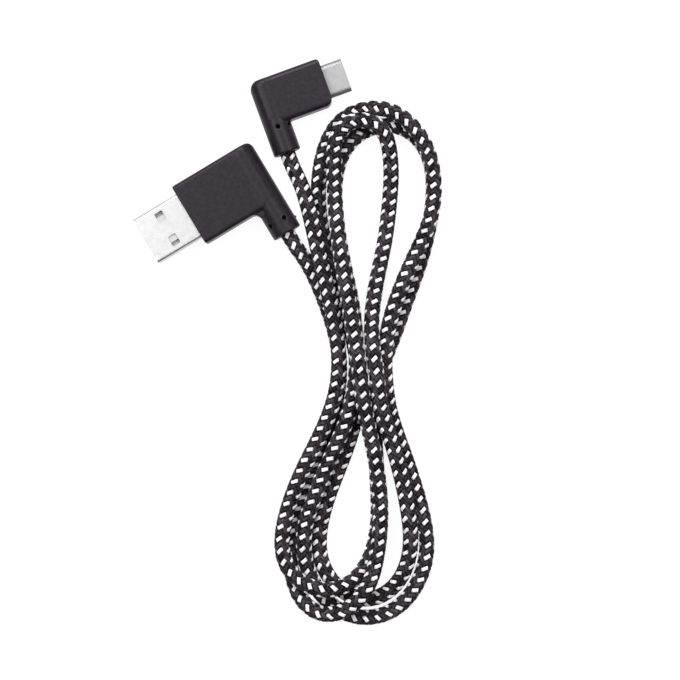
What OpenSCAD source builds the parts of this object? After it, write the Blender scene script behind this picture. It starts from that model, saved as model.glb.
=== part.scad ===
// Charging cable with a right-angle USB-A plug, a right-angle USB-C plug and a braided cord
// that lies in a figure-eight hank. Millimetres.
//
// Each plug is drawn in its own frame: +X is the way it goes into its socket, +Y is the way
// its cord leaves, z = 0 is its middle plane and x = 0 its front face. place_usb_a() and
// place_usb_c() lay the plugs on the table, z = 0, beside the hank.

/* [Cord] */
// Outer diameter of the braided cord
cord_d = 3.5; // [3.2:0.1:3.6]
// Thickness of the braid round the inner jacket
braid_t = 0.3; // [0.2:0.05:0.35]
// Outer diameter of a power wire
power_wire_d = 1.05; // [0.9:0.05:1.1]
// Diameter of a power wire's bare core
power_core_d = 0.54; // [0.4:0.02:0.6]
// Outer diameter of a data wire
data_wire_d = 0.8; // [0.6:0.05:0.9]
// Diameter of a data wire's bare core
data_core_d = 0.4; // [0.3:0.02:0.46]
// Bend radius of the wires inside a plug
wire_bend_r = 1.5; // [1.2:0.1:1.8]

/* [Fits] */
// Gap between moulded pieces and what they hold
fit = 0.05; // [0.03:0.01:0.08]
// Gap between a soldered core and its pad
solder_gap = 0.02; // [0.01:0.01:0.04]
// Thickness of a housing over the inner mould
wall = 1; // [0.8:0.05:1.1]
// Depth of the cord's seat in the mouth of a sleeve
mouth_depth = 2; // [1.6:0.1:3]
// Gap round the cord in the mouth of a sleeve
mouth_gap = 0.35; // [0.2:0.05:0.5]
// Diameter of the holes that the moulding pins leave in a sleeve
pin_hole_d = 1; // [0.6:0.1:1.2]
// Depth of the moulding pin holes
pin_hole_depth = 1; // [0.5:0.1:1.2]

/* [USB-A housing] */
// Width across the body
usb_a_body_w = 15.9; // [14.4:0.1:18]
// Length from the front face to the back
usb_a_body_l = 21.8; // [20:0.1:26]
// Thickness of the flat body
usb_a_body_t = 7.1; // [6.6:0.1:7.2]
// Diameter of the sleeve along the back edge
usb_a_sleeve_d = 7.3; // [7.2:0.1:8.4]
// How far the sleeve stands out past the body's side
usb_a_sleeve_out = 7.8; // [6:0.1:12]
// Radius of the body's back corner
usb_a_back_r = 1.8; // [1.2:0.1:2.6]
// Radius of the body's front corners
usb_a_front_r = 0.5; // [0.3:0.1:1.2]
// Radius along the body's side edges
usb_a_edge_r = 0.95; // [0.5:0.05:1.4]
// Radius in the corner between body and sleeve
usb_a_fillet_r = 1.6; // [1:0.1:2.4]

/* [USB-A connector] */
// Width of the metal shell
usb_a_shell_w = 12; // [11.6:0.1:12.2]
// Height of the metal shell
usb_a_shell_h = 4.5; // [4.4:0.05:4.6]
// Sheet thickness of the metal shell
usb_a_shell_t = 0.3; // [0.25:0.01:0.35]
// Corner radius of the metal shell
usb_a_shell_r = 0.65; // [0.5:0.05:0.9]
// How far the shell stands out of the housing
usb_a_shell_out = 12.1; // [11.75:0.05:13]
// How deep the housing holds the shell
usb_a_shell_in = 6.65; // [5.5:0.05:7]
// Length of a latch window
usb_a_window_l = 2.1; // [1.8:0.1:2.6]
// Width of a latch window
usb_a_window_w = 2.6; // [2:0.1:2.6]
// Distance from the housing to the middle of the latch windows
usb_a_window_x = 6; // [5:0.05:7]
// Distance of the latch windows from the middle of the shell
usb_a_window_y = 3.2; // [3:0.1:3.5]
// Thickness of the tongue that carries the contacts
usb_a_tongue_t = 1.8; // [1.7:0.02:1.84]
// How far the tongue's tip sits back from the shell's mouth
usb_a_tongue_back = 0.6; // [0.3:0.1:1.2]
// Width of a contact blade
usb_a_contact_w = 1; // [0.8:0.05:1.2]
// Thickness of a contact blade
usb_a_contact_t = 0.25; // [0.2:0.01:0.28]
// Distance of the outer contacts from the middle
usb_a_outer_y = 3.5; // [3.3:0.05:3.6]
// Distance of the inner contacts from the middle
usb_a_inner_y = 1; // [0.95:0.05:1.2]
// Length of the contact tails behind the rear block
usb_a_tail_l = 2.2; // [2:0.1:2.6]
// How much lower the inner contacts' tails lie
usb_a_tail_drop = 0.34; // [0.3:0.01:0.4]

/* [USB-C housing] */
// Width across the body
usb_c_body_w = 11.7; // [11.4:0.1:13]
// Length from the front face to the back
usb_c_body_l = 17.9; // [17.6:0.1:22]
// Thickness of the flat body
usb_c_body_t = 6.4; // [5.8:0.1:6.4]
// Diameter of the sleeve along the back edge
usb_c_sleeve_d = 6.7; // [6.4:0.1:7.4]
// How far the sleeve stands out past the body's side
usb_c_sleeve_out = 7.1; // [6:0.1:10]
// Radius of the body's back corner
usb_c_back_r = 2.5; // [2:0.1:3.6]
// Radius of the front corner on the sleeve's side
usb_c_near_r = 2.1; // [1:0.1:2.4]
// Radius of the other front corner
usb_c_far_r = 1; // [0.5:0.1:1.6]
// Radius along the body's side edges
usb_c_edge_r = 1.2; // [0.6:0.05:1.6]
// Radius in the corner between body and sleeve
usb_c_fillet_r = 0.4; // [0.3:0.1:1.2]

/* [USB-C connector] */
// Width of the metal shell
usb_c_shell_w = 8.25; // [8.2:0.01:8.3]
// Height of the metal shell
usb_c_shell_h = 2.4; // [2.38:0.01:2.44]
// Sheet thickness of the metal shell
usb_c_shell_t = 0.23; // [0.18:0.01:0.24]
// How far the shell stands out of the housing
usb_c_shell_out = 5.2; // [5:0.05:6.65]
// How deep the housing holds the shell
usb_c_shell_in = 4; // [3.6:0.05:4.4]
// Depth of the mouth that takes the socket's tongue
usb_c_mouth_l = 4.5; // [4.3:0.05:4.7]
// Width of that mouth
usb_c_mouth_w = 6.9; // [6.7:0.05:7]
// Height of that mouth
usb_c_mouth_h = 0.9; // [0.84:0.01:0.94]
// Width of a contact strip
usb_c_contact_w = 0.25; // [0.2:0.01:0.28]
// Thickness of a contact strip
usb_c_contact_t = 0.15; // [0.12:0.01:0.17]
// Pitch of the contact strips
usb_c_pitch = 0.5; // [0.48:0.01:0.5]
// Thickness of the circuit card
usb_c_card_t = 0.6; // [0.5:0.02:0.62]
// Width of the circuit card
usb_c_card_w = 8; // [7.4:0.1:8.4]
// Length of the circuit card
usb_c_card_l = 6.3; // [6:0.1:6.5]
// Thickness of the latch spring
usb_c_latch_t = 0.2; // [0.15:0.01:0.24]
// Thickness of the shield springs
usb_c_spring_t = 0.15; // [0.1:0.01:0.18]

/* [Hidden] */

$fn = 48;
past = 1;           // how far a cut runs past the face it opens
jacket_d = cord_d - 2 * braid_t;
rim_r = 0.4;        // radius round the mouth of a sleeve
corner_share = 0.78; // how much of a body's thickness the filled corner at its sleeve has
bare_l = 0.3;       // how far a wire's insulation stops short of its pad
core_on_pad = 1.3;  // how far its bare core lies on the pad

// Where the plugs lie on the table: the middle of the front face, and the turn about Z
usb_a_at = [-12.8, -13.1];
usb_a_turn = 211;
usb_c_at = [20.1, 19.2];
usb_c_turn = 20;

// Places along the USB-A plug
usb_a_axis_x = usb_a_sleeve_d / 2 - usb_a_body_l;
usb_a_mouth_y = usb_a_body_w / 2 + usb_a_sleeve_out;
usb_a_seat_y = usb_a_mouth_y - mouth_depth;
usb_a_mould_y = usb_a_body_w / 2 - wall;
usb_a_tongue_top = usb_a_shell_h / 2 - usb_a_shell_t - fit;
usb_a_tongue_low = usb_a_tongue_top - usb_a_tongue_t;
usb_a_block_back = usb_a_shell_in - 0.25;
usb_a_block_front = 2.2;
usb_a_contact_z = usb_a_tongue_low - 0.07; // the blades stand a little out of the tongue
usb_a_power_front = usb_a_shell_out - usb_a_tongue_back - 1;
usb_a_data_front = usb_a_power_front - 1;
usb_a_step_x = -usb_a_block_back - 0.6;
usb_a_tail_x = -usb_a_block_back - usb_a_tail_l;
usb_a_pocket_y = usb_a_window_y + 0.2;
usb_a_window_r = 0.4;
usb_a_pin_y = usb_a_mouth_y - 3.45;
usb_a_pin_tilts = [-20, 48];
usb_a_nub_y = usb_a_mouth_y - 2.5; // the flash mark on the sleeve
usb_a_nub_l = 0.3;
usb_a_nub_d = 0.5;
usb_a_seam_y = 0.45;      // the shell's seam, a groove from seam_back to its mouth
usb_a_seam_depth = 0.1;
usb_a_seam_w = 0.08;
usb_a_seam_back = 9.6;
usb_a_seam_marks = [3, 8.9]; // where round marks lie in line with it
usb_a_seam_mark_d = 0.4;

// Places along the USB-C plug
usb_c_axis_x = usb_c_sleeve_d / 2 - usb_c_body_l;
usb_c_mouth_y = usb_c_body_w / 2 + usb_c_sleeve_out;
usb_c_seat_y = usb_c_mouth_y - mouth_depth;
usb_c_mould_y = usb_c_body_w / 2 - wall;
usb_c_pin_y = usb_c_mouth_y - 6.5;
usb_c_pin_tilts = [180, 124];
usb_c_insert_front = usb_c_shell_out - 0.2;
usb_c_insert_back = 0.2 - usb_c_shell_in;
usb_c_latch_back = usb_c_insert_back + 0.8;
usb_c_latch_front = usb_c_insert_front - 0.9;
usb_c_latch_bar_l = 0.5;
usb_c_latch_arm_w = 0.35;
usb_c_latch_hook = [0.6, 0.35]; // length and depth of a hook
usb_c_spring_x = usb_c_insert_front - 1.6;
usb_c_spring_l = 2;
usb_c_spring_w = 5.2;
usb_c_mouth_back = usb_c_shell_out - usb_c_mouth_l;
usb_c_card_front = -usb_c_shell_in - 0.2;
usb_c_card_back = usb_c_card_front - usb_c_card_l;
usb_c_contact_z = usb_c_card_t / 2 + solder_gap;
usb_c_contact_front = usb_c_insert_front - 1.1;
usb_c_contact_back = usb_c_card_front - 1.8;
usb_c_upper_strips = [-5.5, -2.5, -1.5, -0.5, 0.5, 2.5, 5.5];
usb_c_lower_strips = [-5.5, -2.5, 2.5, 5.5];
usb_c_power_y = 2;  // the power pads lie this far from the middle of the card
usb_c_data_y = 0.9; // and the data pads this far
usb_c_resistor_at = [usb_c_contact_back - 1.2, 2.2];
usb_c_resistor_size = [1, 0.5, 0.35];

// ---- Shapes that both plugs use ----

// Rectangle with round corners, in the middle of the plane
module round_rect(w, h, r) {
    square([w - 2 * r, h], center = true);
    square([w, h - 2 * r], center = true);
    for (sx = [-1, 1], sy = [-1, 1])
        translate([sx * (w / 2 - r), sy * (h / 2 - r)]) circle(r);
}

// Bar along X from x0 to x1 with the section round_rect across it
module bar_x(x0, x1, w, h, r) {
    translate([x0, 0, 0]) rotate([90, 0, 90]) linear_extrude(x1 - x0) round_rect(w, h, r);
}

// Box from corner a to corner b
module box(a, b) {
    translate(a) cube(b - a);
}

// Cylinder along Y
module rod_y(x, z, y0, y1, d) {
    translate([x, y0, z]) rotate([-90, 0, 0]) cylinder(d = d, h = y1 - y0);
}

// Cylinder along X
module rod_x(y, z, x0, x1, d) {
    translate([x0, y, z]) rotate([0, 90, 0]) cylinder(d = d, h = x1 - x0);
}

// What is cut off an upright edge at the origin, with the body on the -X, -Y side
module edge_cut(r, h) {
    difference() {
        translate([-r, -r, -h / 2]) cube([r + past, r + past, h]);
        translate([-r, -r, -h]) cylinder(r = r, h = 2 * h);
    }
}

// Round bar about Y with rounded ends
module sleeve_bar(x, y0, y1, d, r0, r1) {
    translate([x, y0, 0]) rotate([-90, 0, 0]) rotate_extrude()
        difference() {
            square([d / 2, y1 - y0]);
            translate([d / 2, 0]) rotate(-90) corner_2d(r0);
            translate([d / 2, y1 - y0]) corner_2d(r1);
        }
}

// What is cut off the corner of a flat shape at the origin, with the shape on the -X, -Y side
module corner_2d(r) {
    difference() {
        translate([-r, -r]) square(r + past);
        translate([-r, -r]) circle(r);
    }
}

// Right-angle body: a flat bar, a round sleeve along its back edge, and the corner between
// them filled to fillet_r
module plug_body(l, w, t, edge_r, sleeve_d, sleeve_out, back_r, far_r, near_r, fillet_r) {
    axis_x = sleeve_d / 2 - l;
    side_x = sleeve_d - l;
    fill_h = t * corner_share;
    difference() {
        union() {
            bar_x(axis_x, 0, w, t, edge_r);
            sleeve_bar(axis_x, -w / 2, w / 2 + sleeve_out, sleeve_d, edge_r, rim_r);
            difference() {
                box([axis_x, w / 2 - edge_r, -fill_h / 2],
                    [side_x + fillet_r, w / 2 + fillet_r, fill_h / 2]);
                translate([side_x + fillet_r, w / 2 + fillet_r, -fill_h])
                    cylinder(r = fillet_r, h = 2 * fill_h);
            }
        }
        translate([0, -w / 2, 0]) mirror([0, 1, 0]) edge_cut(far_r, 2 * sleeve_d);
        translate([0, w / 2, 0]) edge_cut(near_r, 2 * sleeve_d);
        translate([-l, -w / 2, 0]) rotate(180) edge_cut(back_r, 2 * sleeve_d);
    }
}

// The same form one wall smaller: the inner mould, or with grow the hollow that holds it
module mould_body(front_x, l, w, t, sleeve_d, back_r, grow) {
    axis_x = sleeve_d / 2 - l;
    half_w = w / 2 - wall + grow;
    half_t = t / 2 - wall + grow;
    difference() {
        union() {
            box([axis_x, -half_w, -half_t], [front_x + grow, half_w, half_t]);
            rod_y(axis_x, 0, -half_w, half_w, sleeve_d - 2 * wall + 2 * grow);
        }
        translate([wall - grow - l, -half_w, 0]) rotate(180)
            edge_cut(back_r - wall + grow, 2 * sleeve_d);
    }
}

// The cord's way into a sleeve: the open mouth and the bore for the jacket's end
module cord_way(axis_x, mould_y, seat_y, mouth_y) {
    rod_y(axis_x, 0, mould_y, seat_y + past / 2, jacket_d + 2 * fit);
    rod_y(axis_x, 0, seat_y, mouth_y + past, cord_d + 2 * mouth_gap);
}

// Blind hole that a moulding pin leaves in a sleeve, tilted from +Z towards +X
module pin_hole(axis_x, y, sleeve_d, tilt) {
    translate([axis_x, y, 0]) rotate([0, tilt, 0])
        translate([0, 0, sleeve_d / 2 - pin_hole_depth]) cylinder(d = pin_hole_d, h = pin_hole_depth + past);
}

// Wire from the jacket's end down the sleeve, round a bend and forward to its pad, where the
// bare core lies
module wire(run_x, start_y, pad_y, strip_x, end_x, z, d, core_d) {
    rod_y(run_x, z, pad_y + wire_bend_r, start_y, d);
    translate([run_x + wire_bend_r, pad_y + wire_bend_r, z]) rotate(180)
        rotate_extrude(angle = 90) translate([wire_bend_r, 0]) circle(d = d);
    rod_x(pad_y, z, run_x + wire_bend_r, strip_x, d);
    rod_x(pad_y, z, strip_x - past / 4, end_x, core_d);
}

// The square channel that such a wire takes up in the inner mould
module wire_channel(run_x, start_y, pad_y, strip_x, end_x, z, d, core_d) {
    half = d / 2 + fit;
    core_half = core_d / 2 + fit;
    box([run_x - half, pad_y - half, z - half], [run_x + half, start_y + past, z + half]);
    box([run_x - half, pad_y - half, z - half], [run_x + wire_bend_r, pad_y + wire_bend_r, z + half]);
    box([run_x, pad_y - half, z - half], [strip_x + fit, pad_y + half, z + half]);
    box([run_x, pad_y - core_half, z - core_half], [end_x + fit, pad_y + core_half, z + core_half]);
}

// ---- USB-A plug ----

module usb_a_housing() {
    color([0.20, 0.18, 0.20]) difference() {
        union() {
            plug_body(usb_a_body_l, usb_a_body_w, usb_a_body_t, usb_a_edge_r, usb_a_sleeve_d,
                usb_a_sleeve_out, usb_a_back_r, usb_a_front_r, usb_a_front_r, usb_a_fillet_r);
            rod_x(usb_a_nub_y, 0, -usb_a_body_l - usb_a_nub_l, wall / 2 - usb_a_body_l, usb_a_nub_d);
        }
        mould_body(-usb_a_shell_in - fit, usb_a_body_l, usb_a_body_w, usb_a_body_t,
            usb_a_sleeve_d, usb_a_back_r, fit);
        bar_x(-usb_a_shell_in - fit, past, usb_a_shell_w + 2 * fit, usb_a_shell_h + 2 * fit,
            usb_a_shell_r + fit);
        cord_way(usb_a_axis_x, usb_a_mould_y, usb_a_seat_y, usb_a_mouth_y);
        for (tilt = usb_a_pin_tilts) pin_hole(usb_a_axis_x, usb_a_pin_y, usb_a_sleeve_d, tilt);
    }
}

module usb_a_shell() {
    inner_w = usb_a_shell_w - 2 * usb_a_shell_t;
    inner_h = usb_a_shell_h - 2 * usb_a_shell_t;
    color([0.86, 0.87, 0.88]) difference() {
        bar_x(-usb_a_shell_in, usb_a_shell_out, usb_a_shell_w, usb_a_shell_h, usb_a_shell_r);
        bar_x(-usb_a_shell_in - past, usb_a_shell_out + past, inner_w, inner_h,
            usb_a_shell_r - usb_a_shell_t);
        for (side = [-1, 1])
            translate([usb_a_window_x, side * usb_a_window_y, -usb_a_shell_h])
                linear_extrude(2 * usb_a_shell_h) round_rect(usb_a_window_l, usb_a_window_w, usb_a_window_r);
        translate([0, usb_a_seam_y, usb_a_shell_h / 2 - usb_a_seam_depth]) {
            box([usb_a_seam_back, -usb_a_seam_w / 2, 0], [usb_a_shell_out + past, usb_a_seam_w / 2, past]);
            for (x = usb_a_seam_marks)
                translate([x, 0, 0]) cylinder(d = usb_a_seam_mark_d, h = past, $fn = 16);
        }
    }
}

// One contact at y: a blade, a step down by drop behind the rear block, and a tail
module usb_a_contact(y, front_x, drop, grow) {
    half_w = usb_a_contact_w / 2 + grow;
    low = usb_a_contact_z - grow;
    high = usb_a_contact_z + usb_a_contact_t + grow;
    box([usb_a_step_x - grow, y - half_w, low], [front_x + grow, y + half_w, high]);
    box([usb_a_step_x - grow, y - half_w, low - drop],
        [usb_a_step_x + usb_a_contact_t + grow, y + half_w, high]);
    box([usb_a_tail_x - grow, y - half_w, low - drop],
        [usb_a_step_x + usb_a_contact_t + grow, y + half_w, high - drop]);
}

module usb_a_contacts(grow) {
    for (side = [-1, 1]) {
        usb_a_contact(side * usb_a_outer_y, usb_a_power_front, 0, grow);
        usb_a_contact(side * usb_a_inner_y, usb_a_data_front, usb_a_tail_drop, grow);
    }
}

module usb_a_insulator() {
    half_w = usb_a_shell_w / 2 - usb_a_shell_t - fit;
    color([0.93, 0.93, 0.91]) difference() {
        union() {
            box([-usb_a_block_back, -half_w, usb_a_tongue_low],
                [usb_a_shell_out - usb_a_tongue_back, half_w, usb_a_tongue_top]);
            box([-usb_a_block_back, -half_w, -usb_a_tongue_top],
                [usb_a_block_front, half_w, usb_a_tongue_top]);
        }
        for (side = [-1, 1]) {
            rotate([90, 0, 90]) translate([side * half_w, usb_a_tongue_top, -usb_a_block_back - past])
                linear_extrude(usb_a_shell_out + usb_a_shell_in + 2 * past)
                    rotate(side > 0 ? 0 : 90) corner_2d(usb_a_shell_r - usb_a_shell_t);
            translate([usb_a_window_x, side * (usb_a_pocket_y + usb_a_window_w / 4), usb_a_tongue_top])
                cube([usb_a_window_l, usb_a_window_w / 2, 2], center = true);
        }
        usb_a_contacts(fit);
    }
}

// Wire to the contact at pad_y, on the run side of the sleeve's axis, or the channel for it
module usb_a_wire(run, pad_y, channel = false) {
    power = abs(pad_y) > usb_a_inner_y;
    d = power ? power_wire_d : data_wire_d;
    core_d = power ? power_core_d : data_core_d;
    z = power ? usb_a_contact_z + usb_a_contact_t + solder_gap + core_d / 2
        : usb_a_contact_z - usb_a_tail_drop - solder_gap - core_d / 2;
    run_x = usb_a_axis_x + run * (d / 2 + fit);
    strip_x = usb_a_tail_x - bare_l;
    end_x = usb_a_tail_x + core_on_pad;
    if (channel) wire_channel(run_x, usb_a_mould_y, pad_y, strip_x, end_x, z, d, core_d);
    else wire(run_x, usb_a_mould_y, pad_y, strip_x, end_x, z, d, core_d);
}

module usb_a_inner_mould() {
    color([0.80, 0.80, 0.78]) difference() {
        mould_body(-usb_a_shell_in - fit, usb_a_body_l, usb_a_body_w, usb_a_body_t,
            usb_a_sleeve_d, usb_a_back_r, 0);
        usb_a_contacts(fit);
        for (side = [-1, 1]) {
            usb_a_wire(side, side * usb_a_outer_y, true);
            usb_a_wire(side, side * usb_a_inner_y, true);
        }
    }
}

module usb_a_jacket_end() {
    color([0.16, 0.16, 0.17]) rod_y(usb_a_axis_x, 0, usb_a_mould_y + fit, usb_a_seat_y, jacket_d);
}

// ---- USB-C plug ----

// Stadium bar along X
module stadium_bar(x0, x1, w, h) {
    translate([x0, 0, 0]) rotate([90, 0, 90]) linear_extrude(x1 - x0) {
        square([w - h, h], center = true);
        for (side = [-1, 1]) translate([side * (w - h) / 2, 0]) circle(d = h);
    }
}

module usb_c_housing() {
    color([0.20, 0.18, 0.20]) difference() {
        plug_body(usb_c_body_l, usb_c_body_w, usb_c_body_t, usb_c_edge_r, usb_c_sleeve_d,
            usb_c_sleeve_out, usb_c_back_r, usb_c_far_r, usb_c_near_r, usb_c_fillet_r);
        mould_body(-usb_c_shell_in - fit, usb_c_body_l, usb_c_body_w, usb_c_body_t,
            usb_c_sleeve_d, usb_c_back_r, fit);
        stadium_bar(-usb_c_shell_in - fit, past, usb_c_shell_w + 2 * fit, usb_c_shell_h + 2 * fit);
        cord_way(usb_c_axis_x, usb_c_mould_y, usb_c_seat_y, usb_c_mouth_y);
        for (tilt = usb_c_pin_tilts) pin_hole(usb_c_axis_x, usb_c_pin_y, usb_c_sleeve_d, tilt);
    }
}

module usb_c_shell() {
    color([0.70, 0.71, 0.72]) difference() {
        stadium_bar(-usb_c_shell_in, usb_c_shell_out, usb_c_shell_w, usb_c_shell_h);
        stadium_bar(-usb_c_shell_in - past, usb_c_shell_out + past, usb_c_shell_w - 2 * usb_c_shell_t,
            usb_c_shell_h - 2 * usb_c_shell_t);
    }
}

// A row of contact strips on one side of the card, side being 1 or -1
module usb_c_row(strips, side, grow) {
    half_w = usb_c_contact_w / 2 + grow;
    low = side * usb_c_contact_z - (1 - side) / 2 * usb_c_contact_t - grow;
    for (s = strips)
        box([usb_c_contact_back - grow, s * usb_c_pitch - half_w, low],
            [usb_c_contact_front + grow, s * usb_c_pitch + half_w, low + usb_c_contact_t + 2 * grow]);
}

// The latch spring: two arms with hooks at their tips, and the bar that joins them
module usb_c_latch(grow) {
    half_t = usb_c_latch_t / 2 + grow;
    out_y = usb_c_mouth_w / 2 - fit + grow;
    in_y = usb_c_mouth_w / 2 - fit - usb_c_latch_arm_w - grow;
    box([usb_c_latch_back - grow, -out_y, -half_t],
        [usb_c_latch_back + usb_c_latch_bar_l + grow, out_y, half_t]);
    for (side = [0, 1]) mirror([0, side, 0]) {
        box([usb_c_latch_back - grow, in_y, -half_t], [usb_c_latch_front + grow, out_y, half_t]);
        box([usb_c_latch_front - usb_c_latch_hook[0] - grow, in_y - usb_c_latch_hook[1], -half_t],
            [usb_c_latch_front + grow, out_y, half_t]);
    }
}

// A shield spring's seat, side being 1 or -1
module usb_c_spring(side, grow) {
    top = usb_c_shell_h / 2 - usb_c_shell_t - fit;
    z = top - usb_c_spring_t / 2;
    translate([usb_c_spring_x, 0, side * z])
        cube([usb_c_spring_l + 2 * grow, usb_c_spring_w + 2 * grow, usb_c_spring_t + 2 * grow],
            center = true);
}

module usb_c_insulator() {
    color([0.12, 0.12, 0.13]) difference() {
        stadium_bar(usb_c_insert_back, usb_c_insert_front, usb_c_shell_w - 2 * usb_c_shell_t - 2 * fit,
            usb_c_shell_h - 2 * usb_c_shell_t - 2 * fit);
        box([usb_c_mouth_back, -usb_c_mouth_w / 2, -usb_c_mouth_h / 2],
            [usb_c_shell_out + past, usb_c_mouth_w / 2, usb_c_mouth_h / 2]);
        usb_c_row(usb_c_upper_strips, 1, fit);
        usb_c_row(usb_c_lower_strips, -1, fit);
        usb_c_latch(fit);
        for (side = [-1, 1]) usb_c_spring(side, fit);
    }
}

module usb_c_paddle_card() {
    color([0.10, 0.35, 0.20]) box([usb_c_card_back, -usb_c_card_w / 2, -usb_c_card_t / 2],
        [usb_c_card_front, usb_c_card_w / 2, usb_c_card_t / 2]);
}

module usb_c_resistor_of(grow) {
    size = usb_c_resistor_size;
    translate([usb_c_resistor_at.x, usb_c_resistor_at.y, usb_c_contact_z + size.z / 2])
        cube([size.x + 2 * grow, size.y + 2 * grow, size.z + 2 * grow], center = true);
}

// Wire to the pad at pad_y: power on the card's upper face, data on its lower one
module usb_c_wire(run, pad_y, power, channel = false) {
    d = power ? power_wire_d : data_wire_d;
    core_d = power ? power_core_d : data_core_d;
    z = (power ? 1 : -1) * (usb_c_contact_z + core_d / 2);
    run_x = usb_c_axis_x + run * (d / 2 + fit);
    strip_x = usb_c_card_back - bare_l;
    end_x = usb_c_card_back + core_on_pad;
    if (channel) wire_channel(run_x, usb_c_mould_y, pad_y, strip_x, end_x, z, d, core_d);
    else wire(run_x, usb_c_mould_y, pad_y, strip_x, end_x, z, d, core_d);
}

module usb_c_inner_mould() {
    color([0.80, 0.80, 0.78]) difference() {
        mould_body(-usb_c_shell_in - fit, usb_c_body_l, usb_c_body_w, usb_c_body_t,
            usb_c_sleeve_d, usb_c_back_r, 0);
        box([usb_c_card_back - fit, -usb_c_card_w / 2 - fit, -usb_c_card_t / 2 - fit],
            [usb_c_card_front + past, usb_c_card_w / 2 + fit, usb_c_card_t / 2 + fit]);
        usb_c_row(usb_c_upper_strips, 1, fit);
        usb_c_row(usb_c_lower_strips, -1, fit);
        usb_c_resistor_of(fit);
        for (side = [-1, 1]) {
            usb_c_wire(side, side * usb_c_power_y, true, true);
            usb_c_wire(side, side * usb_c_data_y, false, true);
        }
    }
}

module usb_c_jacket_end() {
    color([0.16, 0.16, 0.17]) rod_y(usb_c_axis_x, 0, usb_c_mould_y + fit, usb_c_seat_y, jacket_d);
}

// ---- Where things lie ----

module place_usb_a() {
    translate([usb_a_at.x, usb_a_at.y, usb_a_sleeve_d / 2]) rotate(usb_a_turn) children();
}

module place_usb_c() {
    translate([usb_c_at.x, usb_c_at.y, usb_c_sleeve_d / 2]) rotate([180, 0, usb_c_turn]) children();
}

// The same placing for a point of a plug's middle plane
function on_usb_a(x, y) = [
    usb_a_at.x + x * cos(usb_a_turn) - y * sin(usb_a_turn),
    usb_a_at.y + x * sin(usb_a_turn) + y * cos(usb_a_turn),
    usb_a_sleeve_d / 2
];
function on_usb_c(x, y) = [
    usb_c_at.x + x * cos(usb_c_turn) + y * sin(usb_c_turn),
    usb_c_at.y + x * sin(usb_c_turn) - y * cos(usb_c_turn),
    usb_c_sleeve_d / 2
];

// ---- The cord ----

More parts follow.
